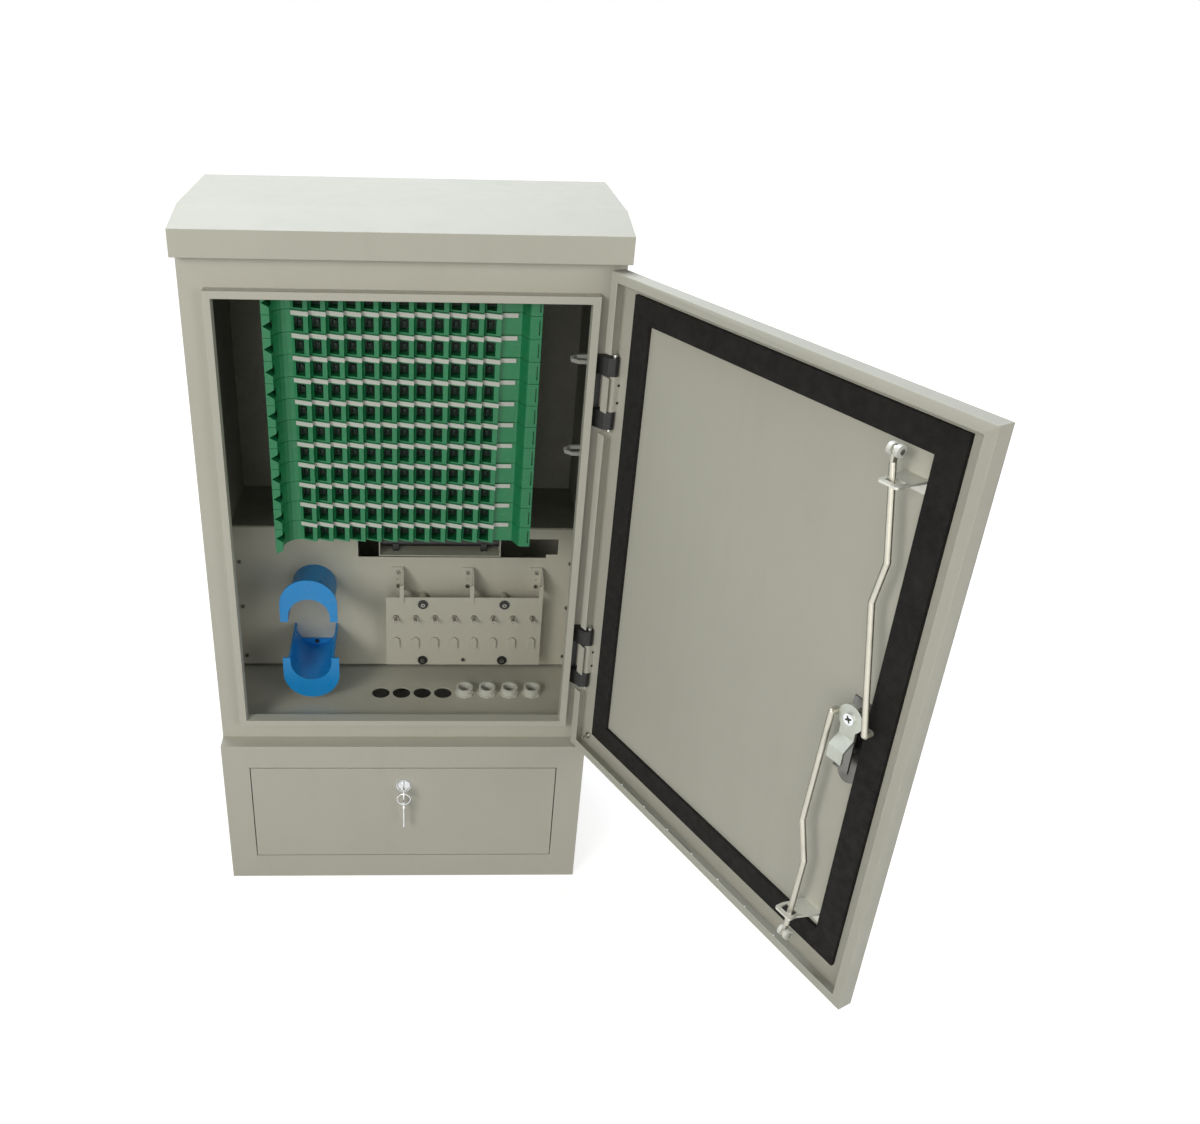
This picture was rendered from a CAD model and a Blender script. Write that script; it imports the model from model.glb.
import math

import bmesh
import bpy
from mathutils import Euler, Matrix, Vector


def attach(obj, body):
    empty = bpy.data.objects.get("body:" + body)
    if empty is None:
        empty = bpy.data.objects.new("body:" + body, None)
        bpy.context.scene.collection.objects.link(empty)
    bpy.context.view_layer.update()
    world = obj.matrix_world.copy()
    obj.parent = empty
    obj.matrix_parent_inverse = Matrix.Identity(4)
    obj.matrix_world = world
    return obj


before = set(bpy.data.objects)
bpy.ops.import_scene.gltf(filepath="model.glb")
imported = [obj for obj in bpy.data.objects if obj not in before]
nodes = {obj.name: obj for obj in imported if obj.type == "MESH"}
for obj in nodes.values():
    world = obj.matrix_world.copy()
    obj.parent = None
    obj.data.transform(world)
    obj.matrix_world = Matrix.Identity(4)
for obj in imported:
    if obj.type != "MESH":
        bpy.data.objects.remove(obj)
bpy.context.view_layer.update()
scene = bpy.context.scene

# Sizes repeated from the part's source, in metres
FACE_Y = -0.138
DOOR_OPEN = math.radians(117.5)

# Trays and their ports
TRAY_COUNT = 12
TRAY_PITCH = 0.030
TRAY_GAP = 0.0006
STACK_Z = 0.590
PORT_COUNT = 12
PORT_PITCH = 0.0223
PORT_X = -0.143
PORT_Y = FACE_Y + 0.030
PORT_LEAN = 0.008
PORT_SIDE = 0.0035
PORT_W = 0.0125
PORT_H = 0.019
PORT_D = 0.016
PORT_FOOT = 0.002

# Label ridge of a tray, and the card on it
RIDGE_T = 0.0012
RIDGE_H = 0.0065
RIDGE_DROP = 0.0007
CARD_T = 0.0004
CARD_LIFT = 0.00005
CARD_LOW = 0.0006
CARD_HIGH = 0.0002
TAIL_END = 0.1461

# Socket in a port: wall at its back, clips and ferrule on the wall
SOCKET_GAP = 0.0004
WALL_T = 0.0006
WALL_SIDE = 0.0006
WALL_BEHIND = 0.0002
CLIP_T = 0.0006
CLIP_SIDE = 0.0030
CLIP_FOOT = 0.0009
CLIP_REACH = (0.0050, 0.0055)
CLIP_SHORT = 0.003
FERRULE_R = (0.0016, 0.0013)
FERRULE_L = 0.0044
FERRULE_Y = 0.0030

# Fibre spools: name, height of the middle, way that the back of the tube looks
SPOOLS = (("upper", 0.447, 1), ("lower", 0.366, -1))
SPOOL_X = -0.142
SPOOL_FRONT = -0.088
SPOOL_R = 0.034
SPOOL_SIDE = 0.008
FLANGE_R = 0.0425
FLANGE_OFF = 0.021
FLANGE_T = 0.003
FLANGE_STEPS = 10
FLANGE_START = math.asin(0.15)
FOOT_Y = 0.009
FOOT_SCREW_Z = 0.3415
FOOT_SCREW_R = 0.0036
FOOT_SCREW_H = 0.0024
FOOT_SCREW_TAPER = 0.8

# Cable board's posts and the screws
BOARD_BACK = -0.016
WASHER_RIM = 0.0017
WASHER_GAP = 0.00005
WASHER_T = 0.0018
WASHER_STEPS = 32
CROSS_REACH = 0.65
CROSS_WIDTH = 0.15
CROSS_LOW = 0.00001
CROSS_HIGH = 0.00006
CROSS_TURN = (0.5, 0.9)

# Directions
DOOR_INWARD = Vector((-math.sin(DOOR_OPEN), math.cos(DOOR_OPEN), 0.0))
FRONT = Vector((0.0, -1.0, 0.0))
UPRIGHT = Matrix.Rotation(math.pi / 2, 4, "X")


# Material helpers

def linear(rgb):
    """sRGB 0 to 255 as linear RGBA."""
    out = []
    for v in rgb:
        c = v / 255
        out.append(c / 12.92 if c <= 0.04045 else ((c + 0.055) / 1.055) ** 2.4)
    return (*out, 1.0)


def tint(colour, k):
    """A colour made lighter or darker."""
    return (*(min(1.0, c * k) for c in colour[:3]), 1.0)


class Graph:
    """A material's node tree with a Principled shader."""

    def __init__(self, name):
        self.mat = bpy.data.materials.new(name)
        self.mat.use_nodes = True
        self.tree = self.mat.node_tree
        self.shader = self.tree.nodes["Principled BSDF"]
        self.coords = self.tree.nodes.new("ShaderNodeTexCoord")

    def node(self, kind, **values):
        n = self.tree.nodes.new(kind)
        for key, value in values.items():
            setattr(n, key, value)
        return n

    def link(self, a, b):
        self.tree.links.new(a, b)

    def set(self, **values):
        for key, value in values.items():
            self.shader.inputs[key.replace("_", " ")].default_value = value

    def place(self, stretch=None):
        vector = self.coords.outputs["Object"]
        if stretch:
            m = self.node("ShaderNodeMapping")
            m.inputs["Scale"].default_value = stretch
            self.link(vector, m.inputs["Vector"])
            vector = m.outputs["Vector"]
        return vector

    def noise(self, scale, detail=3.0, rough=0.5, stretch=None):
        n = self.node("ShaderNodeTexNoise")
        n.inputs["Scale"].default_value = scale
        n.inputs["Detail"].default_value = detail
        n.inputs["Roughness"].default_value = rough
        self.link(self.place(stretch), n.inputs["Vector"])
        return n.outputs["Fac"]

    def cells(self, scale):
        n = self.node("ShaderNodeTexVoronoi")
        n.inputs["Scale"].default_value = scale
        self.link(self.place(), n.inputs["Vector"])
        return n.outputs["Distance"]

    def ramp(self, fac, stops):
        r = self.node("ShaderNodeValToRGB")
        e = r.color_ramp.elements
        while len(e) < len(stops):
            e.new(0.5)
        for el, (pos, colour) in zip(e, stops):
            el.position = pos
            el.color = colour
        self.link(fac, r.inputs["Fac"])
        return r.outputs["Color"]

    def span(self, fac, low, high, a=0.3, b=0.7):
        m = self.node("ShaderNodeMapRange")
        m.inputs["From Min"].default_value = a
        m.inputs["From Max"].default_value = b
        m.inputs["To Min"].default_value = low
        m.inputs["To Max"].default_value = high
        self.link(fac, m.inputs["Value"])
        return m.outputs["Result"]

    def mix(self, fac, a, b):
        m = self.node("ShaderNodeMix", data_type="RGBA")
        for value, socket in ((fac, m.inputs[0]), (a, m.inputs[6]), (b, m.inputs[7])):
            if isinstance(value, (float, tuple)):
                socket.default_value = value
            else:
                self.link(value, socket)
        return m.outputs[2]

    def colour(self, socket):
        self.link(socket, self.shader.inputs["Base Color"])

    def rough(self, socket):
        self.link(socket, self.shader.inputs["Roughness"])

    def bump(self, heights, distance=0.001):
        """heights: pairs of (height output, strength)."""
        last = None
        for height, strength in heights:
            b = self.node("ShaderNodeBump")
            b.inputs["Strength"].default_value = strength
            b.inputs["Distance"].default_value = distance
            self.link(height, b.inputs["Height"])
            if last:
                self.link(last, b.inputs["Normal"])
            last = b.outputs["Normal"]
        self.link(last, self.shader.inputs["Normal"])


def paint_material(name, rgb, peel=0.10, dirt=0.07):
    """Powder coat: fine orange peel, slight clouding, faint streaks of dust that ran down."""
    g = Graph(name)
    base = linear(rgb)
    col = g.ramp(g.noise(3.0, 4, 0.55), [(0.3, tint(base, 0.965)), (0.7, tint(base, 1.03))])
    streak = g.noise(26.0, 5, 0.62, (1.0, 1.0, 0.12))
    col = g.mix(g.span(streak, 0.0, dirt, 0.52, 0.78), col, linear((150, 143, 122)))
    col = g.mix(g.span(g.noise(900.0, 2, 0.6), 0.0, 0.10), col, tint(base, 0.72))
    g.colour(col)
    g.rough(g.span(g.noise(40.0, 3), 0.46, 0.6))
    g.set(Specular_IOR_Level=0.3)
    g.bump([(g.noise(420.0, 2, 0.5), peel), (g.noise(60.0, 2, 0.5), 0.03)])
    return g.mat


def board_material(name, rgb):
    """Matt insulation board: mottled, with fine pits and pale dust."""
    g = Graph(name)
    base = linear(rgb)
    col = g.ramp(g.noise(8.0, 6, 0.65), [(0.3, tint(base, 0.82)), (0.7, tint(base, 1.14))])
    col = g.mix(g.span(g.noise(520.0, 3, 0.6), 0.0, 0.30, 0.5, 0.8), col, tint(base, 1.9))
    g.colour(col)
    g.rough(g.span(g.noise(70.0, 3), 0.72, 0.9))
    g.set(Specular_IOR_Level=0.3)
    g.bump([(g.cells(650.0), 0.16), (g.noise(30.0, 3), 0.08)])
    return g.mat


def plastic_material(name, rgb, rough=(0.3, 0.45), scale=220.0, strength=0.05, cloud=0.06):
    """Moulded plastic: slight flow marks, satin grain, a few scuffs."""
    g = Graph(name)
    base = linear(rgb)
    stops = [(0.3, tint(base, 1 - cloud)), (0.7, tint(base, 1 + cloud))]
    col = g.ramp(g.noise(14.0, 4, 0.6), stops)
    scuff = g.noise(70.0, 6, 0.7, (1.0, 1.0, 4.0))
    col = g.mix(g.span(scuff, 0.0, 0.10, 0.58, 0.72), col, linear((205, 205, 198)))
    g.colour(col)
    g.rough(g.span(g.noise(60.0, 3), *rough))
    g.bump([(g.noise(scale, 2, 0.5), strength)])
    return g.mat


def post_material(name, rgb, spacer_rgb):
    """Black insulating collar in front of the cable board, pale spacer behind it."""
    g = Graph(name)
    place = g.node("ShaderNodeSeparateXYZ")
    g.link(g.coords.outputs["Object"], place.inputs[0])
    behind = g.span(place.outputs["Y"], 0.0, 1.0, BOARD_BACK - 0.0005, BOARD_BACK - 0.0003)
    fleck = g.span(g.noise(120.0, 4), 0.0, 0.3)
    front = g.mix(fleck, linear(rgb), tint(linear(rgb), 1.8))
    back = g.mix(fleck, linear(spacer_rgb), tint(linear(spacer_rgb), 0.85))
    g.colour(g.mix(behind, front, back))
    g.rough(g.span(g.noise(60.0, 3), 0.4, 0.55))
    g.bump([(g.noise(300.0, 2, 0.5), 0.06)])
    return g.mat


def metal_material(name, rgb, rough, hue=None):
    """Plated steel: cloudy plating, fine grain, uneven shine."""
    g = Graph(name)
    base = linear(rgb)
    col = g.ramp(g.noise(30.0, 5, 0.6), [(0.3, tint(base, 0.86)), (0.7, tint(base, 1.06))])
    if hue:
        col = g.mix(g.span(g.noise(45.0, 2), 0.0, 0.35), col, linear(hue))
    g.colour(col)
    g.set(Metallic=1.0)
    g.rough(g.span(g.noise(180.0, 3, 0.6), *rough))
    g.bump([(g.noise(540.0, 2, 0.5), 0.03)], 0.0005)
    return g.mat


def foam_material(name, rgb):
    """Closed-cell foam: open skin with small cells and a grey bloom."""
    g = Graph(name)
    base = linear(rgb)
    col = g.ramp(g.noise(25.0, 4), [(0.3, tint(base, 0.75)), (0.7, tint(base, 1.3))])
    g.colour(g.mix(g.span(g.cells(700.0), 0.0, 0.25, 0.3, 0.9), col, tint(base, 2.2)))
    g.rough(g.span(g.noise(90.0, 3), 0.75, 0.95))
    g.set(Specular_IOR_Level=0.25)
    g.bump([(g.cells(700.0), 0.35), (g.noise(70.0, 2), 0.15)])
    return g.mat


PAINT = paint_material("powder_coat", (201, 200, 190))
INNER = paint_material("powder_coat_inside", (196, 194, 182), 0.08, 0.14)
LINING = board_material("lining_board", (146, 146, 136))
GREEN = plastic_material("green_plastic", (20, 120, 74), (0.32, 0.46))
ROLLER = plastic_material("roller_plastic", (238, 238, 234), (0.3, 0.42), cloud=0.02)
WHITE = plastic_material("white_plastic", (214, 214, 207), (0.3, 0.42), cloud=0.02)
LABEL = plastic_material("label_card", (198, 200, 196), (0.45, 0.6), 500.0, 0.03, 0.03)
BLUE = plastic_material("blue_plastic", (26, 142, 218), (0.26, 0.4), cloud=0.04)
GREY = plastic_material("grey_plastic", (176, 177, 172), (0.3, 0.45))
BLACK = plastic_material("black_plastic", (24, 24, 24), (0.4, 0.55), 300.0, 0.06, 0.15)
SOCKET = plastic_material("socket_plastic", (14, 48, 34), (0.45, 0.6), 300.0, 0.06, 0.15)
IRON = plastic_material("black_casting", (17, 17, 17), (0.42, 0.58), 500.0, 0.12, 0.12)
FOAM = foam_material("gasket_foam", (30, 29, 28))
ZINC = metal_material("zinc_plate", (205, 204, 198), (0.24, 0.42), (196, 200, 190))
CHROME = metal_material("chrome_plate", (222, 224, 226), (0.08, 0.2))
STEEL = metal_material("galvanised", (178, 178, 174), (0.34, 0.5))
SCREW = metal_material("screw_steel", (150, 147, 138), (0.3, 0.48))
CAM = metal_material("cam_plate", (184, 187, 178), (0.36, 0.52))
GUIDE = metal_material("guide_sheet", (210, 209, 201), (0.5, 0.66))
CASE = metal_material("case_steel", (126, 125, 122), (0.28, 0.42))
ROD = metal_material("rod_steel", (190, 187, 175), (0.3, 0.46))
POST = post_material("post_plastic", (24, 24, 24), (178, 176, 164))
DARK = metal_material("recess_steel", (70, 68, 64), (0.5, 0.7))

GROUPS = (
    (PAINT, "plinth_box plinth_cover cabinet_shell front_frame roof_cap door_pan hinge_leaves"),
    (INNER, "floor_plate roof_rails rear_shelf mounting_plate"),
    (INNER, "clamp_hanger cable_board board_brackets"),
    (LINING, "lining_left lining_right lining_back lining_shelf"),
    (BLACK, "cable_clamp"),
    (POST, "board_posts"),
    (SCREW, "inside_screws clamp_studs"),
    (IRON, "hinge_brackets door_handle hinge_screws"),
    (FOAM, "door_gasket"),
    (BLUE, "spool_upper spool_lower"),
    (WHITE, "entry_tubes"),
    (ROLLER, "rollers_upper rollers_lower"),
    (GREY, "fibre_guides"),
    (CHROME, "cover_lock_barrel cover_lock_plug cover_key key_ring spare_key lock_screw"),
    (CAM, "lock_cam"),
    (CASE, "lock_housing"),
    (STEEL, "tray_rack"),
    (ZINC, "hinge_pins door_stud axle_upper axle_lower"),
    (ROD, "rod_upper rod_lower"),
    (GUIDE, "rod_guides"),
    (GREEN, " ".join("splice_tray_%02d" % i for i in range(1, TRAY_COUNT + 1))),
)
for material, names in GROUPS:
    for name in names.split():
        mesh = nodes[name].data
        mesh.materials.clear()
        mesh.materials.append(material)


def soften(name, width):
    """Rounds a CAD node's sharp edges for the render."""
    o = nodes[name]
    w = o.modifiers.new("weld", "WELD")
    w.merge_threshold = 0.00001
    b = o.modifiers.new("bevel", "BEVEL")
    b.width = width
    b.segments = 2
    b.limit_method = "ANGLE"
    b.angle_limit = math.radians(35)
    b.harden_normals = True


for name in "plinth_box plinth_cover front_frame roof_cap door_pan".split():
    soften(name, 0.0007)


# Pieces that the solids leave out

def piece(name, bm, material, body):
    """A mesh of its own that moves with a body of the frame."""
    mesh = bpy.data.meshes.new(name)
    bmesh.ops.recalc_face_normals(bm, faces=bm.faces)
    bm.to_mesh(mesh)
    bm.free()
    mesh.materials.append(material)
    o = bpy.data.objects.new(name, mesh)
    scene.collection.objects.link(o)
    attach(o, body)


def prism(bm, outline, z0, z1, place=Matrix.Identity(4)):
    """Closed prism on an outline, from z0 to z1 of its own frame."""
    low = [bm.verts.new(place @ Vector((x, y, z0))) for x, y in outline]
    high = [bm.verts.new(place @ Vector((x, y, z1))) for x, y in outline]
    bm.faces.new(low)
    bm.faces.new(high)
    for i in range(len(outline)):
        j = (i + 1) % len(outline)
        bm.faces.new((low[i], low[j], high[j], high[i]))


def card(bm, a, b, z0, z1, depth):
    """Flat card between two plan points, depth thick towards the front."""
    prism(bm, (a, b, (b[0], b[1] - depth), (a[0], a[1] - depth)), z0, z1)


def label_strip(bm, z0, z1):
    """One folded card: it leans with each port, steps back after it and ends in a flat tail."""
    front = PORT_Y - RIDGE_T - CARD_LIFT
    back, face = [], []
    for i in range(PORT_COUNT + 1):
        x = PORT_X + i * PORT_PITCH + CARD_LIFT
        back.append((x, front))
        face.append((x + (CARD_T if i else 0.0), front - CARD_T))
        if i < PORT_COUNT:
            back.append((x + PORT_PITCH, front - PORT_LEAN))
            face.append((x + PORT_PITCH + CARD_T, front - PORT_LEAN - CARD_T))
    back.append((TAIL_END, front))
    face.append((TAIL_END, front - CARD_T))
    prism(bm, back + face[::-1], z0, z1)


def sockets(bm, z0, z1):
    """Back wall, two clips and a round ferrule in each port of a tray."""
    back = PORT_Y + PORT_D
    wall = back - WALL_BEHIND
    near, far = (back - r for r in CLIP_REACH)
    for i in range(PORT_COUNT):
        x = PORT_X + i * PORT_PITCH + PORT_SIDE
        card(bm, (x + WALL_SIDE, wall), (x + PORT_W - WALL_SIDE, wall), z0, z1, WALL_T)
        for a in (x + CLIP_SIDE, x + PORT_W - CLIP_SIDE - CLIP_T):
            b = a + CLIP_T
            foot = back - CLIP_FOOT
            prism(bm, ((a, foot), (b, foot), (b, far), (a, near)), z0 + CLIP_SHORT, z1 - CLIP_SHORT)
        spot = Matrix.Translation((x + PORT_W / 2, back - FERRULE_Y, (z0 + z1) / 2))
        bmesh.ops.create_cone(bm, cap_ends=True, segments=16, radius1=FERRULE_R[0],
                              radius2=FERRULE_R[1], depth=FERRULE_L, matrix=spot @ UPRIGHT)


for k in range(TRAY_COUNT):
    foot = STACK_Z + k * TRAY_PITCH + TRAY_GAP / 2
    body = "tray_%02d" % (k + 1)
    if k < TRAY_COUNT - 1:
        bm = bmesh.new()
        top = foot + TRAY_PITCH - TRAY_GAP - RIDGE_DROP
        label_strip(bm, top - RIDGE_H + CARD_LOW, top - CARD_HIGH)
        piece("label_strip_%02d" % (k + 1), bm, LABEL, body)
    bm = bmesh.new()
    low = foot + PORT_FOOT
    sockets(bm, low + SOCKET_GAP, low + PORT_H - SOCKET_GAP)
    piece("port_insert_%02d" % (k + 1), bm, SOCKET, body)


def flange_ends(bm, middle, up):
    """Blunt ends that carry a spool's front flange straight down beside its tube."""
    centre = middle + up * FLANGE_OFF
    low = middle - up * SPOOL_SIDE
    step = (math.acos(SPOOL_R / FLANGE_R) - FLANGE_START) / FLANGE_STEPS
    arc = [FLANGE_START + step * i for i in range(FLANGE_STEPS + 1)]
    for side in (-1, 1):
        reach = side * FLANGE_R
        edge = [(SPOOL_X + reach * math.cos(a), centre - up * FLANGE_R * math.sin(a)) for a in arc]
        outer = SPOOL_X + reach
        view = edge + [(SPOOL_X + side * SPOOL_R, low), (outer, low), (outer, edge[0][1])]
        prism(bm, view, -SPOOL_FRONT - FLANGE_T, -SPOOL_FRONT, UPRIGHT)


for name, middle, up in SPOOLS:
    bm = bmesh.new()
    flange_ends(bm, middle, up)
    piece("spool_%s_flange_ends" % name, bm, BLUE, "cabinet")

bm = bmesh.new()
seat = Matrix.Translation((SPOOL_X, FOOT_Y - FOOT_SCREW_H / 2, FOOT_SCREW_Z)) @ UPRIGHT
bmesh.ops.create_cone(bm, cap_ends=True, segments=24, radius1=FOOT_SCREW_R,
                      radius2=FOOT_SCREW_R * FOOT_SCREW_TAPER, depth=FOOT_SCREW_H, matrix=seat)
piece("spool_foot_screw", bm, DARK, "cabinet")


def islands(mesh):
    """Point lists of a mesh's separate bodies."""
    bm = bmesh.new()
    bm.from_mesh(mesh)
    bmesh.ops.remove_doubles(bm, verts=bm.verts, dist=0.000002)
    left = set(bm.verts)
    out = []
    for seed in list(bm.verts):
        if seed not in left:
            continue
        left.discard(seed)
        stack, found = [seed], []
        while stack:
            v = stack.pop()
            found.append(v.co.copy())
            for e in v.link_edges:
                w = e.other_vert(v)
                if w in left:
                    left.discard(w)
                    stack.append(w)
        out.append(found)
    bm.free()
    return out


def recesses(bm, mesh, way):
    """Dark cross on the head of each screw that looks along way."""
    for k, points in enumerate(islands(mesh)):
        reach = max(p.dot(way) for p in points)
        face = [p for p in points if reach - p.dot(way) < 0.00002]
        centre = sum(face, Vector()) / len(face)
        radius = max((p - centre).length for p in face)
        a, b = CROSS_REACH * radius, CROSS_WIDTH * radius
        cross = [(a, -b), (a, b), (b, b), (b, a), (-b, a), (-b, b),
                 (-a, b), (-a, -b), (-b, -b), (-b, -a), (b, -a), (b, -b)]
        turn = Matrix.Rotation(CROSS_TURN[0] + CROSS_TURN[1] * k, 4, "Z")
        aim = way.to_track_quat("Z", "Y").to_matrix().to_4x4()
        prism(bm, cross, CROSS_LOW, CROSS_HIGH, Matrix.Translation(centre) @ aim @ turn)


def washer(bm, inner, outer, z0, z1, place):
    """Closed flat ring about the Z axis of its own frame."""
    turns = [2 * math.pi * i / WASHER_STEPS for i in range(WASHER_STEPS)]
    loops = [[bm.verts.new(place @ Vector((r * math.cos(a), r * math.sin(a), z))) for a in turns]
             for r, z in ((inner, z0), (outer, z0), (outer, z1), (inner, z1))]
    for a, b in zip(loops, loops[1:] + loops[:1]):
        for i in range(WASHER_STEPS):
            j = (i + 1) % WASHER_STEPS
            bm.faces.new((a[i], a[j], b[j], b[i]))


bm = bmesh.new()
for points in islands(nodes["board_posts"].data):
    low = [min(p[k] for p in points) for k in range(3)]
    high = [max(p[k] for p in points) for k in range(3)]
    radius = (high[0] - low[0]) / 2
    seat = Matrix.Translation(((low[0] + high[0]) / 2, low[1], (low[2] + high[2]) / 2)) @ UPRIGHT
    washer(bm, radius + WASHER_GAP, radius + WASHER_RIM, -WASHER_T, 0.0, seat)
piece("post_washers", bm, BLACK, "cabinet")

for node, way, body in (("inside_screws", FRONT, "cabinet"), ("lock_screw", DOOR_INWARD, "lock")):
    bm = bmesh.new()
    recesses(bm, nodes[node].data, way)
    piece(node + "_slots", bm, DARK, body)


# Camera at the photograph's place, from its straight edges

PHOTO_W, PHOTO_H = 1200, 1124
FOCAL_PX = 1098.008
CENTRE_PX = (463.830, 546.845)
SENSOR = 36.0

camera = bpy.data.objects.new("camera", bpy.data.cameras.new("camera"))
scene.collection.objects.link(camera)
camera.location = (0.026256, -1.474687, 1.324897)
camera.rotation_euler = Euler((1.07160142, -0.02419569, -0.02951259), "XYZ")
camera.data.sensor_fit = "HORIZONTAL"
camera.data.sensor_width = SENSOR
camera.data.lens = SENSOR * FOCAL_PX / PHOTO_W
camera.data.shift_x = (PHOTO_W / 2 - CENTRE_PX[0]) / PHOTO_W
camera.data.shift_y = (CENTRE_PX[1] - PHOTO_H / 2) / PHOTO_W
camera.data.clip_end = 60
scene.camera = camera


# Floor, world and lamps

WORLD = 0.13
COOL = (0.89, 0.95, 1.0)
WARM = (1.0, 0.98, 0.89)
# Name, place, aim, size, power and colour of each lamp
LAMPS = (
    ("overhead", (-0.3, 0.7, 3.2), (0, 0, 0.8), 1.6, 62, COOL),
    ("key_left", (-2.0, -2.9, 2.2), (0, -0.1, 0.6), 1.4, 49, WARM),
    ("front_low", (-0.6, -3.5, 1.1), (0, -0.1, 0.7), 2.0, 18, WARM),
    ("fill_right", (2.2, -2.8, 1.4), (0, -0.1, 0.6), 1.8, 20, WARM),
)
FLOOR_HALF = 25
FLOOR_DROP = 0.0005
FLOOR_GLOW = (0.72, 1.0)
FLOOR_RANGE = (0.8, 2.2)
FLOOR_TONE = 0.7
FLOOR_BOUNCE = (0.35, 0.35, 0.34, 1)


def seen_directly(tree):
    """1 for what the camera sees, also in a mirror or through glass."""
    path = tree.nodes.new("ShaderNodeLightPath")
    first = tree.nodes.new("ShaderNodeMath")
    first.operation = "MAXIMUM"
    tree.links.new(path.outputs["Is Camera Ray"], first.inputs[0])
    tree.links.new(path.outputs["Is Glossy Ray"], first.inputs[1])
    both = tree.nodes.new("ShaderNodeMath")
    both.operation = "MAXIMUM"
    tree.links.new(first.outputs[0], both.inputs[0])
    tree.links.new(path.outputs["Is Transmission Ray"], both.inputs[1])
    return both.outputs[0]


def floor_material():
    """Pale floor that fades to white away from the object and keeps its shadow."""
    g = Graph("floor")
    glow = g.node("ShaderNodeEmission")
    glow.inputs["Color"].default_value = (1, 1, 1, 1)
    far = g.node("ShaderNodeVectorMath", operation="LENGTH")
    g.link(g.coords.outputs["Object"], far.inputs[0])
    g.link(g.span(far.outputs["Value"], *FLOOR_GLOW, *FLOOR_RANGE), glow.inputs["Strength"])
    plain = g.node("ShaderNodeBsdfDiffuse")
    plain.inputs["Color"].default_value = (FLOOR_TONE, FLOOR_TONE, FLOOR_TONE, 1)
    shown = g.node("ShaderNodeAddShader")
    g.link(glow.outputs[0], shown.inputs[0])
    g.link(plain.outputs[0], shown.inputs[1])
    dim = g.node("ShaderNodeBsdfDiffuse")
    dim.inputs["Color"].default_value = FLOOR_BOUNCE
    mix = g.node("ShaderNodeMixShader")
    g.link(seen_directly(g.tree), mix.inputs[0])
    g.link(dim.outputs[0], mix.inputs[1])
    g.link(shown.outputs[0], mix.inputs[2])
    g.link(mix.outputs[0], g.tree.nodes["Material Output"].inputs["Surface"])
    return g.mat


bm = bmesh.new()
bmesh.ops.create_grid(bm, x_segments=2, y_segments=2, size=FLOOR_HALF)
mesh = bpy.data.meshes.new("floor")
bm.to_mesh(mesh)
bm.free()
mesh.materials.append(floor_material())
floor = bpy.data.objects.new("floor", mesh)
scene.collection.objects.link(floor)
floor.location = (0, 0, -FLOOR_DROP)

world = bpy.data.worlds.new("studio")
scene.world = world
world.use_nodes = True
sky = world.node_tree
dim = sky.nodes["Background"]
dim.inputs["Color"].default_value = (0.98, 0.985, 1.0, 1)
dim.inputs["Strength"].default_value = WORLD
white = sky.nodes.new("ShaderNodeBackground")
white.inputs["Color"].default_value = (1, 1, 1, 1)
white.inputs["Strength"].default_value = 1.0
mix = sky.nodes.new("ShaderNodeMixShader")
sky.links.new(seen_directly(sky), mix.inputs[0])
sky.links.new(dim.outputs[0], mix.inputs[1])
sky.links.new(white.outputs[0], mix.inputs[2])
sky.links.new(mix.outputs[0], sky.nodes["World Output"].inputs["Surface"])


for name, place, aim, size, power, colour in LAMPS:
    light = bpy.data.lights.new(name, "AREA")
    light.shape = "DISK"
    light.size = size
    light.energy = power
    light.color = colour
    lamp = bpy.data.objects.new(name, light)
    scene.collection.objects.link(lamp)
    lamp.location = place
    lamp.rotation_euler = (Vector(aim) - Vector(place)).to_track_quat("-Z", "Y").to_euler()

scene.view_settings.view_transform = "Standard"
